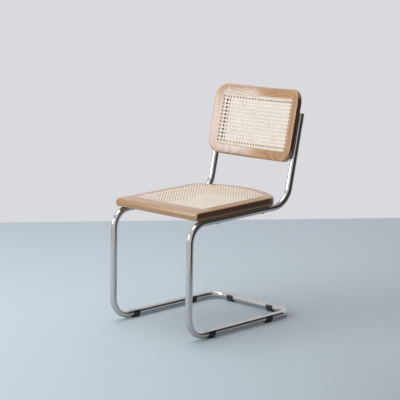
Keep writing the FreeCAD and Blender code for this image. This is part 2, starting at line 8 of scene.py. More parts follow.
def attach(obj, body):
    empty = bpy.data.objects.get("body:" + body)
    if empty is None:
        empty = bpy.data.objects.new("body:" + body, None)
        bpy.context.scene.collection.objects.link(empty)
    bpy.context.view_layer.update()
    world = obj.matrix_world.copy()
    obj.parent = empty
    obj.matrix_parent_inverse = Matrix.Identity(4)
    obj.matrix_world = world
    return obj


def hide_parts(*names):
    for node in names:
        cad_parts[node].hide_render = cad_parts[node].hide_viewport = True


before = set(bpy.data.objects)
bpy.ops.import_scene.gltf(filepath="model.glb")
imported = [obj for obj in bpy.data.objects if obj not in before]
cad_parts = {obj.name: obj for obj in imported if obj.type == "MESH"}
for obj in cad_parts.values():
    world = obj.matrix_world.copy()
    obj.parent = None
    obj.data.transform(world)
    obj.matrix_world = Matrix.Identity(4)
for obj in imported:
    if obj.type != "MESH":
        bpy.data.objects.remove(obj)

bl_info = {
    "name": "Cantilever Chair",
    "version": (1, 0, 0),
    "blender": (4, 5, 0),
    "location": "View3D > Sidebar > Chair",
    "description": "Dresses a cantilever chair of bent tube, wooden frames and woven cane",
    "category": "Object",
}

ROOT = "root"
X_AXIS = Vector((1, 0, 0))
Y_AXIS = Vector((0, 1, 0))
Z_AXIS = Vector((0, 0, 1))

# Tube, in metres
TUBE_R = 0.0125
TUBE_WALL = 0.002
SIDE_X = 0.2065
FLOOR_FRONT = Vector((SIDE_X, -0.3059, 0.016))
FLOOR_REAR = Vector((SIDE_X, 0.2161, 0.016))
SEAT_FRONT = Vector((SIDE_X, -0.2889, 0.419))
SEAT_REAR = Vector((SIDE_X, 0.1946, 0.428))
RAKE = math.radians(13.8)
UPRIGHT_LENGTH = 0.341
BENDS = (0.084, 0.070, 0.070, 0.058)

# Seat, drawn flat with the underside of its wood at zero height
SLOPE = math.atan2(SEAT_REAR.z - SEAT_FRONT.z, SEAT_REAR.y - SEAT_FRONT.y)
SEAT_LIFT = SEAT_FRONT.z - SEAT_FRONT.y * math.tan(SLOPE) + TUBE_R / math.cos(SLOPE)
SEAT_PLACE = Matrix.Translation((0, 0, SEAT_LIFT)) @ Matrix.Rotation(SLOPE, 4, "X")
SEAT_TOP = 0.030
SEAT_HALF = 0.221
SEAT_CORNER = Vector((0.163, 0.09069, 0))
SEAT_CORNER_R = 0.058
SEAT_REAR_CENTRE = Vector((0, -0.173, 0))
SEAT_REAR_R = 0.368
SEAT_CORNER_TURN = math.atan2(SEAT_CORNER.y - SEAT_REAR_CENTRE.y, SEAT_CORNER.x)
SEAT_FRONT_EDGE = -0.271
FRONT_RAIL_REAR = -0.1884
SIDE_RAIL_REAR = -0.0574
SEAT_MEMBER = 0.0515
SEAT_OPENING_FRONT = -0.2049
CANE_CORNER = 0.0145
NOSE_TOP = 0.013
NOSE_BOTTOM = 0.009

# Back, drawn upright with the uprights' plane at zero depth
BACK_PLACE = Matrix.Translation((0, SEAT_REAR.y, SEAT_REAR.z)) @ Matrix.Rotation(-RAKE, 4, "X")
BACK_R = 0.630
BACK_CENTRE_Y = -0.63318
BACK_FACE_Y = BACK_CENTRE_Y + BACK_R
BACK_HALF = 0.2185
BACK_LOW = 0.1545
BACK_HIGH = 0.427
BACK_CORNER_R = 0.054
BACK_THICKNESS = 0.024
BACK_JOINT_X = 0.160
BACK_MEMBER = 0.0515
BACK_OPENING_R = 0.012
BACK_MIDDLE = (BACK_LOW + BACK_HIGH) / 2
BACK_HALF_HEIGHT = (BACK_HIGH - BACK_LOW) / 2
BACK_FACE_PLACE = BACK_PLACE @ Matrix.Translation((0, BACK_FACE_Y, BACK_MIDDLE))
BACK_STRIPS = 40

# Both frames
VISIBLE_WOOD = 0.035
GROOVE = 0.0045
CANE_TUCK = 0.0033
WEB_EDGE = VISIBLE_WOOD + CANE_TUCK
REED_INSET = VISIBLE_WOOD + GROOVE / 2
REED_FRONT = SEAT_OPENING_FRONT + GROOVE / 2
REED_CORNER = CANE_CORNER - GROOVE / 2
REED_SIDES = 10
REED_SUNK = 0.35

# Weave: the first three are shares of a strand's thickness, the reach is a share of the
# web's middle height and the crest a share of the slanting strand's length
STRAND_ROUND = 0.55
STRAND_RISE = 0.45
WEB_MIDDLE = 1.15
SLANT_REACH = 0.95
SLANT_CREST = 0.17

# Stretch of the wood's pattern along each board
GRAIN_STRETCH = 14.0
ALONG_X = (GRAIN_STRETCH, 1, 1)
ALONG_Y = (1, GRAIN_STRETCH, 1)
ALONG_Z = (1, 1, GRAIN_STRETCH)
UNTURNED = (0, 0, 0)

# Distances within which two places count as one, and at which vertices are welded
SAME_RING = 0.00001
SAME_PLACE = 0.0001
WELD_SOLID = 0.00002
WELD_OUTLINE = 0.00005
WELD_STRANDS = 0.0001
WELD_LOOP = 0.0002

# Camera, fitted to the photograph's view
CAMERA_SPOT = Vector((3.7953, -3.5879, 1.4136))
CAMERA_AZIMUTH = math.radians(47)
CAMERA_DIP = math.radians(10.492)
CAMERA_ROLL = math.radians(-0.68)
CAMERA_LENS = 128.6
SENSOR_WIDTH = 36


class ChairSizes(bpy.types.PropertyGroup):
    """Sizes of the woven and bent pieces."""

    cane_pitch: FloatProperty(
        name="Cane Pitch", description="Distance from one hole of the weave to the next",
        default=0.0143, min=0.01, max=0.02, unit="LENGTH")
    strand_width: FloatProperty(
        name="Strand Width", description="Width of each strand of cane",
        default=0.0025, min=0.001, max=0.004, unit="LENGTH")
    strand_thickness: FloatProperty(
        name="Strand Thickness", description="Thickness of each strand of cane",
        default=0.0006, min=0.0003, max=0.001, unit="LENGTH")
    pair_spacing: FloatProperty(
        name="Pair Spacing", description="Distance between the two strands of a pair",
        default=0.0032, min=0.002, max=0.006, unit="LENGTH")
    reed_radius: FloatProperty(
        name="Reed Radius", description="Radius of the reed that holds the cane in its groove",
        default=0.0021, min=0.001, max=0.0022, unit="LENGTH")
    seat_edge_round: FloatProperty(
        name="Seat Edge Round", description="Rounding along the outer edges of the seat's wood",
        default=0.0075, min=0.001, max=0.009, unit="LENGTH")
    back_edge_round: FloatProperty(
        name="Back Edge Round", description="Rounding along the outer edges of the back's wood",
        default=0.0065, min=0.001, max=0.011, unit="LENGTH")
    cane_bed: FloatProperty(
        name="Cane Bed", description="Depth of the wood's step under the edge of the cane",
        default=0.003, min=0.0, max=0.006, unit="LENGTH")
    tube_sides: IntProperty(
        name="Tube Sides", description="Flat sides round the bent tube",
        default=48, min=12, max=96)


class ChairColours(bpy.types.PropertyGroup):
    """Colours of the finishes."""

    wood_light: FloatVectorProperty(
        name="Wood, Light", description="Pale early wood between the growth lines",
        subtype="COLOR", size=3, min=0, max=1, default=(0.47, 0.245, 0.072))
    wood_dark: FloatVectorProperty(
        name="Wood, Dark", description="Dark late wood of the growth lines",
        subtype="COLOR", size=3, min=0, max=1, default=(0.21, 0.082, 0.021))
    cane_pale: FloatVectorProperty(
        name="Cane, Pale", description="Pale parts of the cane strands",
        subtype="COLOR", size=3, min=0, max=1, default=(0.88, 0.79, 0.66))
    cane_tan: FloatVectorProperty(
        name="Cane, Tan", description="Darker streaks of the cane strands",
        subtype="COLOR", size=3, min=0, max=1, default=(0.70, 0.54, 0.36))
    chrome: FloatVectorProperty(
        name="Chrome", description="Colour of the plated tube",
        subtype="COLOR", size=3, min=0, max=1, default=(0.62, 0.61, 0.59))
    plastic: FloatVectorProperty(
        name="Plastic", description="Colour of the floor glides",
        subtype="COLOR", size=3, min=0, max=1, default=(0.010, 0.020, 0.028))


def sizes():
    """The sizes that the user can change."""
    return bpy.context.scene.chair_sizes


def colours():
    """The colours that the user can change."""
    return bpy.context.scene.chair_colours


def new_material(name):
    """A material, its node tree and its surface shader."""
    material = bpy.data.materials.new(name)
    material.use_nodes = True
    tree = material.node_tree
    return material, tree, tree.nodes["Principled BSDF"]


def feed(tree, socket, value):
    """Set an input to a value, or link it from another node's socket."""
    if isinstance(value, bpy.types.NodeSocket):
        tree.links.new(value, socket)
    else:
        socket.default_value = value


def add_node(tree, kind, settings=None, **sockets):
    """A node of that kind, each named input set to a value or linked from a socket."""
    made = tree.nodes.new(kind)
    for name, value in (settings or {}).items():
        setattr(made, name, value)
    for name, value in sockets.items():
        feed(tree, made.inputs[name.replace("_", " ")], value)
    return made


def work_out(tree, operation, *values, kind="ShaderNodeMath"):
    """A node that does this sum on the values, in the order of its inputs."""
    made = add_node(tree, kind, {"operation": operation})
    for socket, value in zip(made.inputs, values):
        feed(tree, socket, value)
    return made


def object_place(tree):
    """Place on the chair, which is where every piece's object coordinates start."""
    return add_node(tree, "ShaderNodeTexCoord").outputs["Object"]


def noise(tree, vector, scale, detail=2.0):
    """Clouded pattern, finer as its scale rises."""
    made = add_node(tree, "ShaderNodeTexNoise", Vector=vector, Scale=scale, Detail=detail)
    return made.outputs["Fac"]


def between(tree, factor, first, second):
    """Colour between two colours, each a value or a socket."""
    mix = add_node(tree, "ShaderNodeMix", {"data_type": "RGBA"})
    feed(tree, mix.inputs[0], factor)
    for index, colour in ((6, first), (7, second)):
        linked = isinstance(colour, bpy.types.NodeSocket)
        feed(tree, mix.inputs[index], colour if linked else (*colour, 1))
    return mix.outputs[2]


def ranged(tree, value, low, high, to_low, to_high):
    """The value, drawn from one range into another."""
    spread = add_node(tree, "ShaderNodeMapRange", Value=value, From_Min=low, From_Max=high,
                      To_Min=to_low, To_Max=to_high)
    return spread.outputs["Result"]


def bump(tree, shader, height, depth):
    """Fine relief of the surface."""
    raised = add_node(tree, "ShaderNodeBump", Height=height, Distance=depth)
    tree.links.new(raised.outputs["Normal"], shader.inputs["Normal"])


def chrome_finish():
    """Polished plating with faint wipe marks that dull it unevenly."""
    material, tree, shader = new_material("polished_chrome")
    shader.inputs["Base Color"].default_value = (*colours().chrome, 1)
    shader.inputs["Metallic"].default_value = 1
    marks = noise(tree, object_place(tree), 45.0, 5.0)
    tree.links.new(ranged(tree, marks, 0.35, 0.75, 0.14, 0.17), shader.inputs["Roughness"])
    return material


def plastic_finish():
    """Moulded black plastic, scuffed a little."""
    material, tree, shader = new_material("black_plastic")
    shader.inputs["Base Color"].default_value = (*colours().plastic, 1)
    scuffs = noise(tree, object_place(tree), 160.0, 4.0)
    tree.links.new(ranged(tree, scuffs, 0.4, 0.7, 0.22, 0.42), shader.inputs["Roughness"])
    return material


def steel_finish():
    """Plain plated steel of bolts and inserts."""
    material, _, shader = new_material("plated_steel")
    shader.inputs["Base Color"].default_value = (0.52, 0.52, 0.50, 1)
    shader.inputs["Metallic"].default_value = 1
    shader.inputs["Roughness"].default_value = 0.28
    return material


def painted_side_shade(tree):
    """Share of painted shade, which darkens the faces that turn towards either side of the chair.
    """
    facing = add_node(tree, "ShaderNodeNewGeometry").outputs["Normal"]
    across = add_node(tree, "ShaderNodeSeparateXYZ", Vector=facing).outputs["X"]
    sideways = work_out(tree, "ABSOLUTE", across).outputs[0]
    return ranged(tree, sideways, 0.66, 0.95, 0.0, 0.92)


def grain(material_name, vector_of, ring_axis):
    """Satin wood: growth rings cut by the surface, fine pores, slow shifts of tone and painted
    shade on the side faces.
    """
    material, tree, shader = new_material(material_name)
    board = vector_of(tree, object_place(tree))
    pattern = {"wave_type": "RINGS", "rings_direction": ring_axis}
    wave = add_node(tree, "ShaderNodeTexWave", pattern, Vector=board, Scale=42.0,
                    Distortion=7.0, Detail=3.0, Detail_Scale=1.2)
    rings = wave.outputs["Fac"]
    pores = noise(tree, board, 520.0, 3.0)
    tone = noise(tree, board, 14.0, 2.0)
    light, dark = colours().wood_light, colours().wood_dark
    figure = between(tree, ranged(tree, rings, 0.1, 1.0, 0.06, 0.70), light, dark)
    deep = [part * 0.72 for part in dark]
    streaked = between(tree, ranged(tree, pores, 0.52, 0.74, 0.0, 0.55), figure, deep)
    warm = [part * shade for part, shade in zip(light, (1.06, 0.93, 0.74))]
    toned = between(tree, ranged(tree, tone, 0.35, 0.7, 0.0, 0.5), streaked, warm)
    # Painted shade: the faces turned to either side take a darker colour that stands in for their
    # shadow.
    side_shaded = between(tree, painted_side_shade(tree), toned, [part * 0.5 for part in dark])
    tree.links.new(side_shaded, shader.inputs["Base Color"])
    tree.links.new(ranged(tree, pores, 0.3, 0.75, 0.30, 0.46), shader.inputs["Roughness"])
    shader.inputs["Coat Weight"].default_value = 0.8
    shader.inputs["Coat Roughness"].default_value = 0.2
    shader.inputs["Coat IOR"].default_value = 1.75
    bump(tree, shader, height=pores, depth=0.00006)
    return material


def straight_grain(turn, spot, stretch):
    """Coordinates of a straight board: turned, moved off the pith, stretched along the grain."""
    def build(tree, place):
        mapped = add_node(tree, "ShaderNodeMapping", {"vector_type": "TEXTURE"}, Vector=place,
                          Rotation=turn, Location=spot, Scale=stretch)
        return mapped.outputs["Vector"]
    return build


def bent_grain(centre, stretch):
    """Coordinates of a bent board: distance from the bend's centre, way round it and height."""
    def build(tree, place):
        offset = work_out(tree, "SUBTRACT", place, centre, kind="ShaderNodeVectorMath").outputs[0]
        parts = add_node(tree, "ShaderNodeSeparateXYZ", Vector=offset)
        across, deep, height = (parts.outputs[axis] for axis in "XYZ")
        flat = add_node(tree, "ShaderNodeCombineXYZ", X=across, Y=deep).outputs[0]
        reach = work_out(tree, "LENGTH", flat, kind="ShaderNodeVectorMath").outputs["Value"]
        turn = work_out(tree, "ARCTAN2", across, deep).outputs[0]
        way = work_out(tree, "MULTIPLY", turn, stretch).outputs[0]
        made = add_node(tree, "ShaderNodeCombineXYZ", X=way, Y=reach, Z=height)
        return made.outputs[0]
    return build


def cane_finish(name, shade=1.0):
    """Split cane: pale glossy peel with darker streaks and joints."""
    material, tree, shader = new_material(name)
    place = object_place(tree)
    streaks = noise(tree, place, 210.0, 4.0)
    patches = noise(tree, place, 26.0, 2.0)
    pale = [part * shade for part in colours().cane_pale]
    tan = [part * shade for part in colours().cane_tan]
    streaked = between(tree, ranged(tree, streaks, 0.45, 0.75, 0.0, 0.8), pale, tan)
    patched = between(tree, ranged(tree, patches, 0.4, 0.7, 0.0, 0.35), streaked, tan)
    tree.links.new(patched, shader.inputs["Base Color"])
    tree.links.new(ranged(tree, streaks, 0.3, 0.7, 0.30, 0.45), shader.inputs["Roughness"])
    bump(tree, shader, height=streaks, depth=0.00005)
    return material


def dress(node, material):
    """A node of the frame keeps its mesh and takes this finish."""
    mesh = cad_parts[node].data
    mesh.materials.clear()
    mesh.materials.append(material)


def mirrored(point):
    """The same place on the chair's other side."""
    return Vector((-point.x, point.y, point.z))


def select_only(obj):
    """Nothing else selected, and this object active."""
    bpy.ops.object.select_all(action="DESELECT")
    obj.select_set(True)
    bpy.context.view_layer.objects.active = obj


def start_edit(obj):
    """Only this object selected, in edit mode, with all of its mesh selected."""
    select_only(obj)
    bpy.ops.object.mode_set(mode="EDIT")
    bpy.ops.mesh.select_mode(type="VERT")
    bpy.ops.mesh.select_all(action="SELECT")


def end_edit():
    """Back to object mode."""
    bpy.ops.object.mode_set(mode="OBJECT")


def pick(obj, mode, kind, test):
    """Select, in edit mode, the parts of one kind that pass the test."""
    bpy.ops.mesh.select_mode(type=mode)
    bpy.ops.mesh.select_all(action="DESELECT")
    bpy.ops.object.mode_set(mode="OBJECT")
    for part in getattr(obj.data, kind):
        part.select = test(part)
    bpy.ops.object.mode_set(mode="EDIT")


def pick_vertices(obj, test):
    """Select the vertices whose place passes the test."""
    pick(obj, "VERT", "vertices", lambda vertex: test(vertex.co))


def pick_faces(obj, test):
    """Select the faces that pass the test."""
    pick(obj, "FACE", "polygons", test)


def pick_edges(obj, test):
    """Select the edges whose two ends pass the test."""
    def both(edge):
        return test(*(obj.data.vertices[index].co for index in edge.vertices))

    pick(obj, "EDGE", "edges", both)


def apply_modifier(obj, kind, **settings):
    """Add a modifier with these settings and apply it."""
    select_only(obj)
    modifier = obj.modifiers.new(kind.title(), kind)
    for name, value in settings.items():
        setattr(modifier, name, value)
    bpy.ops.object.modifier_apply(modifier=modifier.name)


def place_mesh(obj, matrix):
    """Move the mesh itself, so that the object stays at the origin."""
    select_only(obj)
    obj.matrix_world = matrix @ obj.matrix_world
    bpy.ops.object.transform_apply(location=True, rotation=True, scale=True)


def join(name, members):
    """One object of several."""
    bpy.ops.object.select_all(action="DESELECT")
    for member in members:
        member.select_set(True)
    bpy.context.view_layer.objects.active = members[0]
    bpy.ops.object.join()
    joined = bpy.context.object
    joined.name = name
    return joined


def hand_over(obj, material, slot, *nodes):
    """Finish a new piece: its material, its body and the nodes that it stands for. The slot is
    not used.
    """
    obj.data.materials.clear()
    obj.data.materials.append(material)
    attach(obj, ROOT)
    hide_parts(*nodes)


def start_ring(name, radius, sides, spot, axis):
    """Open ring of a tube or rod, square to the axis, left in edit mode and selected."""
    bpy.ops.object.select_all(action="DESELECT")
    turn = axis.to_track_quat("Z", "Y").to_euler()
    bpy.ops.mesh.primitive_circle_add(vertices=sides, radius=radius, location=spot, rotation=turn)
    ring = bpy.context.object
    ring.name = name
    bpy.ops.object.transform_apply(location=True, rotation=True, scale=True)
    start_edit(ring)
    return ring


def run_straight(step, parts=1):
    """Draw the selected ring out along a straight line."""
    for _ in range(parts):
        bpy.ops.mesh.extrude_region_move(TRANSFORM_OT_translate={"value": step / parts})


def run_bend(centre, axis, angle, parts):
    """Turn the selected ring about an axis through the centre of a bend."""
    bpy.ops.mesh.spin(steps=parts, angle=angle, center=centre, axis=axis)


def run_path(points, radii, straight_parts=1, bend_parts=14):
    """Straight runs between the points, each inner corner turned on its radius."""
    spot = points[0]
    for index, radius in enumerate(radii, start=1):
        corner = points[index]
        before = (points[index - 1] - corner).normalized()
        after = (points[index + 1] - corner).normalized()
        half = before.angle(after) / 2
        reach = radius / math.tan(half)
        run_straight(corner + before * reach - spot, straight_parts)
        centre = corner + (before + after).normalized() * (radius / math.sin(half))
        run_bend(centre, before.cross(after), math.pi - 2 * half, bend_parts)
        spot = corner + after * reach
    run_straight(points[-1] - spot, straight_parts)


def start_point(name, spot):
    """A single point, left in edit mode, to draw an outline from."""
    bpy.ops.object.select_all(action="DESELECT")
    bpy.ops.mesh.primitive_plane_add(size=0.001, location=spot)
    point = bpy.context.object
    point.name = name
    bpy.ops.object.transform_apply(location=True, rotation=True, scale=True)
    start_edit(point)
    bpy.ops.mesh.merge(type="CENTER")
    return point


def fill_outline():
    """Close a drawn outline with one face and leave that face selected."""
    bpy.ops.mesh.select_all(action="SELECT")
    bpy.ops.mesh.remove_doubles(threshold=WELD_OUTLINE)
    bpy.ops.mesh.edge_face_add()


def finish_solid():
    """Weld, turn the faces outwards and leave edit mode."""
    bpy.ops.mesh.select_mode(type="VERT")
    bpy.ops.mesh.select_all(action="SELECT")
    bpy.ops.mesh.remove_doubles(threshold=WELD_SOLID)
    bpy.ops.mesh.normals_make_consistent(inside=False)
    end_edit()


def carve(obj, tool):
    """Take the tool's space out of the piece."""
    apply_modifier(obj, "BOOLEAN", operation="DIFFERENCE", solver="EXACT", object=tool)


def remove(tool):
    """Take away a helper that is used up."""
    bpy.data.objects.remove(tool, do_unlink=True)


def smooth(obj, degrees=35):
    """Shade the piece smooth, but for edges sharper than this."""
    select_only(obj)
    bpy.ops.object.shade_smooth_by_angle(angle=math.radians(degrees))


def curve_back(obj, width):
    """Curve a flat piece of this width to the back's radius."""
    apply_modifier(obj, "SIMPLE_DEFORM", deform_method="BEND", deform_axis="Z",
                   angle=-width / BACK_R)


def close_loop():
    """Weld the last ring of a closed rod to its first."""
    bpy.ops.mesh.select_all(action="SELECT")
    bpy.ops.mesh.remove_doubles(threshold=WELD_LOOP)
    bpy.ops.mesh.normals_make_consistent(inside=False)
    end_edit()


class CHAIR_OT_frame_tube(bpy.types.Operator):
    """Bend the chair's one tube from upright to upright"""

    bl_idname = "chair.frame_tube"
    bl_label = "Bend Frame Tube"

    def execute(self, context):
        upright = Vector((0, math.sin(RAKE), math.cos(RAKE)))
        top = SEAT_REAR + upright * UPRIGHT_LENGTH
        right = [top, SEAT_REAR, SEAT_FRONT, FLOOR_FRONT, FLOOR_REAR]
        left = [mirrored(point) for point in reversed(right)]
        tube = start_ring("bent_tube", TUBE_R, sizes().tube_sides, top, upright)
        run_path(right + left, BENDS + BENDS[::-1])
        bpy.ops.mesh.select_all(action="SELECT")
        bpy.ops.mesh.normals_make_consistent(inside=False)
        end_edit()
        apply_modifier(tube, "SOLIDIFY", thickness=TUBE_WALL, offset=-1)
        smooth(tube, 40)
        hand_over(tube, chrome_finish(), "chrome_tube", "frame_tube")
        return {"FINISHED"}


def strand(name, length, lifts):
    """One length of cane along X, flat below and rounded above, its rings lifted or sunk."""
    wide, thick = sizes().strand_width, sizes().strand_thickness
    bpy.ops.object.select_all(action="DESELECT")
    bpy.ops.mesh.primitive_cube_add(size=1, location=(0, 0, 0), scale=(length, wide, thick))
    piece = bpy.context.object
    piece.name = name
    bpy.ops.object.transform_apply(location=True, rotation=True, scale=True)
    start_edit(piece)

    def on_top(first, second):
        return min(first.z, second.z) > 0 and abs(first.x - second.x) > length / 2

    pick_edges(piece, on_top)
    bpy.ops.mesh.bevel(offset=thick * STRAND_ROUND, offset_pct=0, segments=1, affect="EDGES")
    pick_faces(piece, lambda face: abs(face.normal.x) > 0.9)
    bpy.ops.mesh.delete(type="FACE")
    bpy.ops.mesh.select_mode(type="VERT")
    for along, _ in lifts:
        bpy.ops.mesh.select_all(action="SELECT")
        bpy.ops.mesh.bisect(plane_co=(along, 0, 0), plane_no=(1, 0, 0))
    for along, lift in lifts:
        pick_vertices(piece, lambda co: abs(co.x - along) < SAME_RING)
        bpy.ops.transform.translate(value=(0, 0, lift))
    end_edit()
    return piece


def lift_ends(piece, reach, lift):
    """Lift the two end rings of a strand."""
    start_edit(piece)
    pick_vertices(piece, lambda co: abs(abs(co.x) - reach) < SAME_RING)
    bpy.ops.transform.translate(value=(0, 0, lift))
    end_edit()


def cut_outside(obj, planes):
    """Cut away what lies beyond each plane and close the cut ends."""
    start_edit(obj)
    for point, outward in planes:
        bpy.ops.mesh.select_all(action="SELECT")
        bpy.ops.mesh.bisect(plane_co=point, plane_no=outward, clear_outer=True, use_fill=True)
    bpy.ops.mesh.select_all(action="SELECT")
    bpy.ops.mesh.normals_make_consistent(inside=False)
    end_edit()


def repeat(piece, turn, start, steps, counts):
    """Turn and place a strand, then copy it in line and the line side by side."""
    place_mesh(piece, Matrix.Translation(start) @ Matrix.Rotation(turn, 4, "Z"))
    apply_modifier(piece, "ARRAY", use_relative_offset=False, use_constant_offset=True,
                   constant_offset_displace=steps[0], count=counts[0],
                   use_merge_vertices=True, merge_threshold=WELD_STRANDS)
    apply_modifier(piece, "ARRAY", use_relative_offset=False, use_constant_offset=True,
                   constant_offset_displace=steps[1], count=counts[1])


def weave(name, wide, tall, planes, half_row=False, curved=False):
    """Six-way web: pairs woven both ways and two slanting strands, cut to an outline."""
    pitch, gap = sizes().cane_pitch, sizes().pair_spacing / 2
    rise = sizes().strand_thickness * STRAND_RISE
    middle = sizes().strand_thickness * WEB_MIDDLE
    columns = int(wide / pitch) // 2 + 1
    rows = int(tall / pitch) // 2 + 1
    left, bottom = -columns * pitch, -rows * pitch
    shift = pitch / 2 if half_row else 0
    across, upward = (pitch, 0, 0), (0, pitch, 0)
    families = []
    for side in (-1, 1):
        warp = strand("warp", pitch, ((-gap, side * rise), (gap, -side * rise)))
        repeat(warp, math.pi / 2, Vector((left + side * gap, bottom + shift, middle)),
               (upward, across), (2 * rows + 1, 2 * columns + 1))
        weft = strand("weft", pitch, ((-gap, -side * rise), (gap, side * rise)))
        repeat(weft, 0, Vector((left, bottom + side * gap + shift, middle)),
               (across, upward), (2 * columns + 1, 2 * rows + 1))
        families += [warp, weft]
    length = pitch * math.sqrt(2)
    crest = length * SLANT_CREST
    reach = middle * SLANT_REACH
    for side in (-1, 1):
        lifts = (
            (-length / 2 + crest, -side * reach), (-crest, side * reach),
            (crest, side * reach), (length / 2 - crest, -side * reach),
        )
        slant = strand("slant", length, lifts)
        lift_ends(slant, length / 2, -side * reach)
        start = Vector((-side * (columns + rows + 1) * pitch, bottom - pitch / 2 + shift, middle))
        repeat(slant, side * math.pi / 4, start, ((side * pitch, pitch, 0), (side * pitch, 0, 0)),
               (2 * rows + 2, 2 * columns + 2 * rows + 3))
        families.append(slant)
    for family in families:
        if curved:
            place_mesh(family, Matrix.Rotation(math.pi / 2, 4, "X"))
            curve_back(family, family.dimensions.x)
        cut_outside(family, planes)
    return join(name, families)


def corner_planes(centre, radius, first, last, count, direction):
    """Planes that touch an arc, from the first angle to the last."""
    planes = []
    for index in range(count):
        angle = first + (last - first) * (index + 0.5) / count
        outward = direction(math.cos(angle), math.sin(angle))
        planes.append((centre + outward * radius, outward))
    return planes


def seat_planes():
    """Planes round the edge of the seat's cane, tucked under its reed."""
    half = SEAT_HALF - WEB_EDGE
    front = SEAT_OPENING_FRONT + CANE_TUCK
    corner = CANE_CORNER - CANE_TUCK
    quarter = math.pi / 2

    def flat(x, y):
        return Vector((x, y, 0))

    planes = [(flat(half, 0), X_AXIS), (flat(-half, 0), -X_AXIS), (flat(0, front), -Y_AXIS)]
    for side in (-1, 1):
        middle = flat(side * (half - corner), front + corner)
        turn = math.pi if side < 0 else 3 * quarter
        planes += corner_planes(middle, corner, turn, turn + quarter, 3, flat)
        middle = flat(side * SEAT_CORNER.x, SEAT_CORNER.y)
        turn = 0 if side > 0 else math.pi - SEAT_CORNER_TURN
        planes += corner_planes(
            middle, SEAT_CORNER_R - WEB_EDGE, turn, turn + SEAT_CORNER_TURN, 3, flat)
    planes += corner_planes(SEAT_REAR_CENTRE, SEAT_REAR_R - WEB_EDGE, SEAT_CORNER_TURN,
                            math.pi - SEAT_CORNER_TURN, 11, flat)
    return planes


def back_planes():
    """Planes round the edge of the back's cane, tucked under its reed."""
    half = BACK_HALF - WEB_EDGE
    tall = BACK_HALF_HEIGHT - WEB_EDGE
    corner = BACK_CORNER_R - WEB_EDGE
    quarter = math.pi / 2

    def upright(x, z):
        return Vector((x, 0, z))

    planes = [
        (X_AXIS * half, X_AXIS), (X_AXIS * -half, -X_AXIS),
        (Z_AXIS * tall, Z_AXIS), (Z_AXIS * -tall, -Z_AXIS),
    ]
    for turn, (side, end) in enumerate(((1, 1), (-1, 1), (-1, -1), (1, -1))):
        middle = upright(side * (half - corner), end * (tall - corner))
        planes += corner_planes(middle, corner, turn * quarter, (turn + 1) * quarter, 4, upright)
    return planes


class CHAIR_OT_seat_cane(bpy.types.Operator):
    """Weave the seat's cane"""

    bl_idname = "chair.seat_cane"
    bl_label = "Weave Seat Cane"

    def execute(self, context):
        web = weave("woven_seat_cane", wide=0.40, tall=0.44, planes=seat_planes())
        place_mesh(web, SEAT_PLACE @ Matrix.Translation((0, 0, SEAT_TOP)))
        hand_over(web, cane_finish("seat_cane"), "cane", "seat_cane")
        return {"FINISHED"}


class CHAIR_OT_back_cane(bpy.types.Operator):
    """Weave the back's cane and curve it to the back"""

    bl_idname = "chair.back_cane"
    bl_label = "Weave Back Cane"

    def execute(self, context):
        web = weave("woven_back_cane", wide=0.40, tall=0.23, planes=back_planes(),
                    half_row=True, curved=True)
        place_mesh(web, BACK_FACE_PLACE)
        hand_over(web, cane_finish("back_cane"), "cane", "back_cane")
        return {"FINISHED"}


def run_seat_outline(height, corner_parts, rear_parts):
    """Draw out what is selected along the seat's reed, from mid front all the way round."""
    half = SEAT_HALF - REED_INSET
    right = [
        Vector((0, REED_FRONT, height)),
        Vector((half, REED_FRONT, height)),
        Vector((half, SEAT_CORNER.y, height)),
    ]
    run_path(right, [REED_CORNER], bend_parts=5)
    run_bend(SEAT_CORNER, -Z_AXIS, SEAT_CORNER_TURN, corner_parts)
    run_bend(SEAT_REAR_CENTRE, -Z_AXIS, math.pi - 2 * SEAT_CORNER_TURN, rear_parts)
    run_bend(mirrored(SEAT_CORNER), -Z_AXIS, SEAT_CORNER_TURN, corner_parts)
    run_path([mirrored(point) for point in reversed(right)], [REED_CORNER], bend_parts=5)


def seat_reed(radius, sunk):
    """Reed round the seat's cane."""
    height = SEAT_TOP - sunk
    rod = start_ring("seat_reed", radius, REED_SIDES, (0, REED_FRONT, height), X_AXIS)
    run_seat_outline(height, corner_parts=6, rear_parts=30)
    close_loop()
    place_mesh(rod, SEAT_PLACE)
    return rod


def back_reed(radius, sunk):
    """Reed round the back's cane, laid flat and then curved with the back."""
    half = BACK_R * math.asin((BACK_HALF - REED_INSET) / BACK_R)
    tall = BACK_HALF_HEIGHT - REED_INSET
    rod = start_ring("back_reed", radius, REED_SIDES, (0, sunk, -tall), X_AXIS)
    corners = ((0, -tall), (half, -tall), (half, tall), (-half, tall), (-half, -tall), (0, -tall))
    run_path([Vector((x, sunk, z)) for x, z in corners], [BACK_CORNER_R - REED_INSET] * 4,
             straight_parts=16, bend_parts=6)
    close_loop()
    curve_back(rod, rod.dimensions.x)
    place_mesh(rod, BACK_FACE_PLACE)
    return rod


class CHAIR_OT_reeds(bpy.types.Operator):
    """Lay the reeds that hold the cane in its grooves"""

    bl_idname = "chair.reeds"
    bl_label = "Lay Reeds"

    def execute(self, context):
        finish = cane_finish("reed", shade=0.72)
        radius = sizes().reed_radius
        sunk = radius * REED_SUNK
        for lay, node in ((seat_reed, "seat_spline"), (back_reed, "back_spline")):
            rod = lay(radius, sunk)
            select_only(rod)
            bpy.ops.object.shade_smooth()
            hand_over(rod, finish, "cane_spline", node)
        return {"FINISHED"}


def seat_section(name, side, y):
    """Section of a side rail or of the rear bow, rounded outside and square to the cane."""
    rounding = sizes().seat_edge_round

    def at(inset, height):
        return Vector((side * (SEAT_HALF - inset), y, height))

    section = start_point(name, at(SEAT_MEMBER, 0))
    path = [at(SEAT_MEMBER, 0), at(0, 0), at(0, SEAT_TOP), at(SEAT_MEMBER, SEAT_TOP)]
    run_path(path, [rounding, rounding], bend_parts=6)
    fill_outline()
    return section


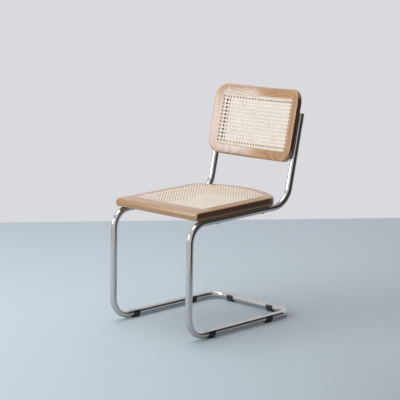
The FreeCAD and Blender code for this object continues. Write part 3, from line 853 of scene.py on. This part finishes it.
def seat_side_rail(name, side):
    """Straight rail from the front rail to the rear bow."""
    rail = seat_section(name, side, FRONT_RAIL_REAR)
    run_straight(Vector((0, SIDE_RAIL_REAR - FRONT_RAIL_REAR, 0)))
    finish_solid()
    return rail


def seat_rear_bow(name):
    """Bent bow: out along one side, round both rear corners and back along the other side."""
    bow = seat_section(name, 1, SIDE_RAIL_REAR)
    reach = Vector((0, SEAT_CORNER.y - SIDE_RAIL_REAR, 0))
    run_straight(reach)
    run_bend(SEAT_CORNER, -Z_AXIS, SEAT_CORNER_TURN, 10)
    run_bend(SEAT_REAR_CENTRE, -Z_AXIS, math.pi - 2 * SEAT_CORNER_TURN, 28)
    run_bend(mirrored(SEAT_CORNER), -Z_AXIS, SEAT_CORNER_TURN, 10)
    run_straight(-reach)
    finish_solid()
    return bow


def seat_front_rail(name):
    """Wide rail with a bullnose, its ends rounded where they show at the seat's sides."""
    def at(y, height):
        return Vector((-SEAT_HALF, y, height))

    path = [
        at(FRONT_RAIL_REAR, 0), at(SEAT_FRONT_EDGE, 0),
        at(SEAT_FRONT_EDGE, SEAT_TOP), at(FRONT_RAIL_REAR, SEAT_TOP),
    ]
    rail = start_point(name, path[0])
    run_path(path, [NOSE_BOTTOM, NOSE_TOP], bend_parts=7)
    fill_outline()
    run_straight(Vector((2 * SEAT_HALF, 0, 0)))
    finish_solid()
    start_edit(rail)

    def on_end(first, second):
        ends = abs(first.x) > SEAT_HALF - SAME_PLACE and abs(first.x - second.x) < SAME_PLACE
        return ends and min(first.y, second.y) < FRONT_RAIL_REAR - SAME_PLACE

    pick_edges(rail, on_end)
    bpy.ops.mesh.bevel(offset=sizes().seat_edge_round, offset_pct=0, segments=6, affect="EDGES")
    finish_solid()
    return rail


def seat_bed(name):
    """Block shaped like the cane's outline, for the step that its edge lies over."""
    low = SEAT_TOP - sizes().cane_bed
    bed = start_point(name, (0, REED_FRONT, low))
    run_seat_outline(low, corner_parts=8, rear_parts=28)
    fill_outline()
    clear_of_wood = 0.02
    run_straight(Z_AXIS * clear_of_wood)
    finish_solid()
    return bed


class CHAIR_OT_seat_wood(bpy.types.Operator):
    """Shape the seat's front rail, side rails and bent rear bow"""

    bl_idname = "chair.seat_wood"
    bl_label = "Shape Seat Wood"

    def execute(self, context):
        bed = seat_bed("cane_bed")
        pieces = (
            (seat_front_rail("front_rail"), "seat_front_rail",
             straight_grain(UNTURNED, (0, -0.31, 0.36), ALONG_X), "X"),
            (seat_side_rail("left_rail", -1), "seat_left_rail",
             straight_grain(UNTURNED, (-0.26, 0, 0.38), ALONG_Y), "Y"),
            (seat_side_rail("right_rail", 1), "seat_right_rail",
             straight_grain(UNTURNED, (0.17, 0, 0.38), ALONG_Y), "Y"),
            (seat_rear_bow("rear_bow"), "seat_rear_bow",
             bent_grain(centre=SEAT_REAR_CENTRE + Z_AXIS * 0.40, stretch=0.02), "X"),
        )
        for piece, node, place, axis in pieces:
            carve(piece, bed)
            place_mesh(piece, SEAT_PLACE)
            smooth(piece)
            hand_over(piece, grain("satin_" + piece.name, place, axis), "wood_frame", node)
        remove(bed)
        return {"FINISHED"}


def back_block(name, inset, corner, front, rear):
    """Flat block with the back's rounded outline drawn in by the inset, between two depths."""
    flat_half = BACK_R * math.asin(BACK_HALF / BACK_R) - inset
    tall = BACK_HALF_HEIGHT - inset
    bpy.ops.object.select_all(action="DESELECT")
    bpy.ops.mesh.primitive_plane_add(size=2, location=(0, front, 0), rotation=(math.pi / 2, 0, 0))
    block = bpy.context.object
    block.name = name
    block.scale = (flat_half, tall, 1)
    bpy.ops.object.transform_apply(location=True, rotation=True, scale=True)
    start_edit(block)
    bpy.ops.mesh.bevel(offset=corner, offset_pct=0, segments=12, affect="VERTICES")
    bpy.ops.mesh.select_all(action="SELECT")
    run_straight(Vector((0, rear - front, 0)))
    finish_solid()
    return block


def back_board():
    """The whole frame of the back: flat, rounded, opened, stepped for the cane, then curved."""
    board = back_block("back_board", 0, BACK_CORNER_R, 0, BACK_THICKNESS)
    start_edit(board)
    pick_edges(board, lambda first, second: abs(first.y - second.y) < SAME_PLACE)
    bpy.ops.mesh.bevel(offset=sizes().back_edge_round, offset_pct=0, segments=6, affect="EDGES")
    finish_solid()
    spare = 0.01
    opening = back_block("opening", BACK_MEMBER, BACK_OPENING_R, -spare, BACK_THICKNESS + spare)
    bed = back_block("bed", REED_INSET, BACK_CORNER_R - REED_INSET, -spare, sizes().cane_bed)
    for tool in (opening, bed):
        carve(board, tool)
        remove(tool)
    start_edit(board)
    half = board.dimensions.x / 2
    for index in range(1, BACK_STRIPS):
        across = half * (2 * index / BACK_STRIPS - 1)
        bpy.ops.mesh.select_all(action="SELECT")
        bpy.ops.mesh.bisect(plane_co=(across, 0, 0), plane_no=X_AXIS)
    end_edit()
    for depth, share in depth_shares(board):
        start_edit(board)
        pick_vertices(board, lambda co: abs(co.y - depth) < SAME_RING)
        bpy.ops.transform.resize(value=(share, 1, 1), center_override=(0, 0, 0))
        end_edit()
    curve_back(board, 2 * half)
    return board


def depth_shares(board):
    """Every depth at which the board has vertices, and how much narrower it is drawn there."""
    depths = sorted({round(vertex.co.y, 6) for vertex in board.data.vertices})
    return [(depth, BACK_R / (BACK_R + depth)) for depth in depths if depth > SAME_RING]


class CHAIR_OT_back_wood(bpy.types.Operator):
    """Shape the back's two stiles and two rails"""

    bl_idname = "chair.back_wood"
    bl_label = "Shape Back Wood"

    def execute(self, context):
        leaning = (-RAKE, 0, 0)
        board = back_board()
        joint = X_AXIS * BACK_JOINT_X
        inner = [(joint, X_AXIS), (-joint, -X_AXIS)]
        origin = Vector((0, 0, 0))
        pieces = (
            ("left_stile", "back_left_stile", [(-joint, X_AXIS)],
             straight_grain(leaning, (-0.25, 0.16, 0.7), ALONG_Z), "Z"),
            ("right_stile", "back_right_stile", [(joint, -X_AXIS)],
             straight_grain(leaning, (0.15, 0.17, 0.7), ALONG_Z), "Z"),
            ("top_rail", "back_top_rail", inner + [(origin, -Z_AXIS)],
             straight_grain(leaning, (0.35, 0.22, 0.78), ALONG_X), "X"),
            ("bottom_rail", "back_bottom_rail", inner + [(origin, Z_AXIS)],
             straight_grain(leaning, (-0.2, 0.17, 0.62), ALONG_X), "X"),
        )
        for name, node, planes, place, axis in pieces:
            piece = board.copy()
            piece.data = board.data.copy()
            piece.name = name
            context.scene.collection.objects.link(piece)
            cut_outside(piece, planes)
            place_mesh(piece, BACK_FACE_PLACE)
            smooth(piece)
            hand_over(piece, grain("satin_" + name, place, axis), "wood_frame", node)
        remove(board)
        return {"FINISHED"}


class CHAIR_OT_fittings(bpy.types.Operator):
    """Finish the plugs, glides, bolts, inserts and dowels"""

    bl_idname = "chair.fittings"
    bl_label = "Finish Fittings"

    def execute(self, context):
        cap = chrome_finish()
        black = plastic_finish()
        steel = steel_finish()
        peg = grain("dowel_wood", straight_grain(UNTURNED, (0, 0, 0), (1, 1, 1)), "X")
        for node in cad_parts:
            if node.endswith("_plug"):
                dress(node, cap)
            elif node.endswith("_glide"):
                dress(node, black)
            elif node.endswith("_dowels"):
                dress(node, peg)
            elif node.endswith(("_bolts", "_inserts")):
                dress(node, steel)
        return {"FINISHED"}


def add_camera():
    """Camera at the photograph's viewing angle."""
    data = bpy.data.cameras.new("view_camera")
    camera = bpy.data.objects.new("view_camera", data)
    bpy.context.scene.collection.objects.link(camera)
    forward = Vector((
        -math.sin(CAMERA_AZIMUTH) * math.cos(CAMERA_DIP),
        math.cos(CAMERA_AZIMUTH) * math.cos(CAMERA_DIP),
        -math.sin(CAMERA_DIP),
    ))
    side = Vector((math.cos(CAMERA_AZIMUTH), math.sin(CAMERA_AZIMUTH), 0))
    up = side.cross(forward)
    right = side * math.cos(CAMERA_ROLL) + up * math.sin(CAMERA_ROLL)
    upward = up * math.cos(CAMERA_ROLL) - side * math.sin(CAMERA_ROLL)
    turn = Matrix((right, upward, -forward)).transposed()
    camera.matrix_world = Matrix.Translation(CAMERA_SPOT) @ turn.to_4x4()
    data.lens = CAMERA_LENS
    data.sensor_width = SENSOR_WIDTH
    bpy.context.scene.camera = camera


def area_lamp(name, spot, size, power, colour, target):
    """Soft rectangular lamp aimed at a point."""
    data = bpy.data.lights.new(name, "AREA")
    data.shape = "RECTANGLE"
    data.size, data.size_y = size
    data.energy = power
    data.color = colour
    lamp = bpy.data.objects.new(name, data)
    lamp.location = spot
    lamp.rotation_mode = "QUATERNION"
    lamp.rotation_quaternion = (target - Vector(spot)).to_track_quat("-Z", "Y")
    bpy.context.scene.collection.objects.link(lamp)


def stage_plane(name, spot, turn, scale, colour, roughness):
    """A flat part of the studio, which isn't part of the chair."""
    bpy.ops.object.select_all(action="DESELECT")
    bpy.ops.mesh.primitive_plane_add(size=1, location=spot, rotation=turn)
    plane = bpy.context.object
    plane.name = name
    plane.scale = (*scale, 1)
    material, _, shader = new_material(name)
    shader.inputs["Base Color"].default_value = (*colour, 1)
    shader.inputs["Roughness"].default_value = roughness
    plane.data.materials.append(material)
    return plane


class CHAIR_OT_stage(bpy.types.Operator):
    """Set the camera, the floor, the wall's tone, the lamps and the dark side of the room"""

    bl_idname = "chair.stage"
    bl_label = "Set Stage"

    def execute(self, context):
        scene = context.scene
        scene.view_settings.view_transform = "Standard"
        add_camera()
        stage_plane("pale_floor", spot=(0, 0, 0), turn=(0, 0, CAMERA_AZIMUTH), scale=(9, 3.7),
                    colour=(0.50, 0.57, 0.61), roughness=0.6)
        dark_side = stage_plane(
            "dark_side", spot=(1.3, 1.1, 1.4), turn=(0, math.pi / 2, 0), scale=(2.8, 3.4),
            colour=(0.05, 0.038, 0.03), roughness=0.9)
        dark_side.visible_camera = False
        world = bpy.data.worlds.new("studio")
        world.use_nodes = True
        background = world.node_tree.nodes["Background"]
        background.inputs["Color"].default_value = (0.70, 0.70, 0.73, 1)
        background.inputs["Strength"].default_value = 1.0
        scene.world = world
        area_lamp("window_light", spot=(-1.35, -2.6, 1.5), size=(1.9, 0.9), power=36,
                  colour=(0.78, 0.89, 1.0), target=Vector((0, 0.2, 0.7)))
        area_lamp("ceiling_light", spot=(-0.7, -0.5, 2.7), size=(2.0, 2.0), power=30,
                  colour=(1.0, 0.98, 0.95), target=Vector((0, 0, 0.3)))
        return {"FINISHED"}


STEPS = (
    CHAIR_OT_frame_tube, CHAIR_OT_seat_wood, CHAIR_OT_back_wood, CHAIR_OT_seat_cane,
    CHAIR_OT_back_cane, CHAIR_OT_reeds, CHAIR_OT_fittings, CHAIR_OT_stage,
)


class CHAIR_PT_pieces(bpy.types.Panel):
    """The chair's pieces, sizes and colours"""

    bl_idname = "CHAIR_PT_pieces"
    bl_label = "Cantilever Chair"
    bl_space_type = "VIEW_3D"
    bl_region_type = "UI"
    bl_category = "Chair"

    def draw(self, context):
        for group in (context.scene.chair_sizes, context.scene.chair_colours):
            box = self.layout.box()
            for name in group.__annotations__:
                box.prop(group, name)
        for step in STEPS:
            self.layout.operator(step.bl_idname)


CLASSES = (ChairSizes, ChairColours, *STEPS, CHAIR_PT_pieces)


def register():
    """Add the chair's classes and settings to Blender."""
    for cls in CLASSES:
        bpy.utils.register_class(cls)
    bpy.types.Scene.chair_sizes = PointerProperty(type=ChairSizes)
    bpy.types.Scene.chair_colours = PointerProperty(type=ChairColours)


def unregister():
    """Take the chair's classes and settings away again."""
    del bpy.types.Scene.chair_colours
    del bpy.types.Scene.chair_sizes
    for cls in reversed(CLASSES):
        bpy.utils.unregister_class(cls)


def main():
    """Build the chair, one operator after another."""
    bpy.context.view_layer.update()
    register()
    for step in STEPS:
        group, name = step.bl_idname.split(".")
        getattr(getattr(bpy.ops, group), name)()


if __name__ == "__main__":
    main()
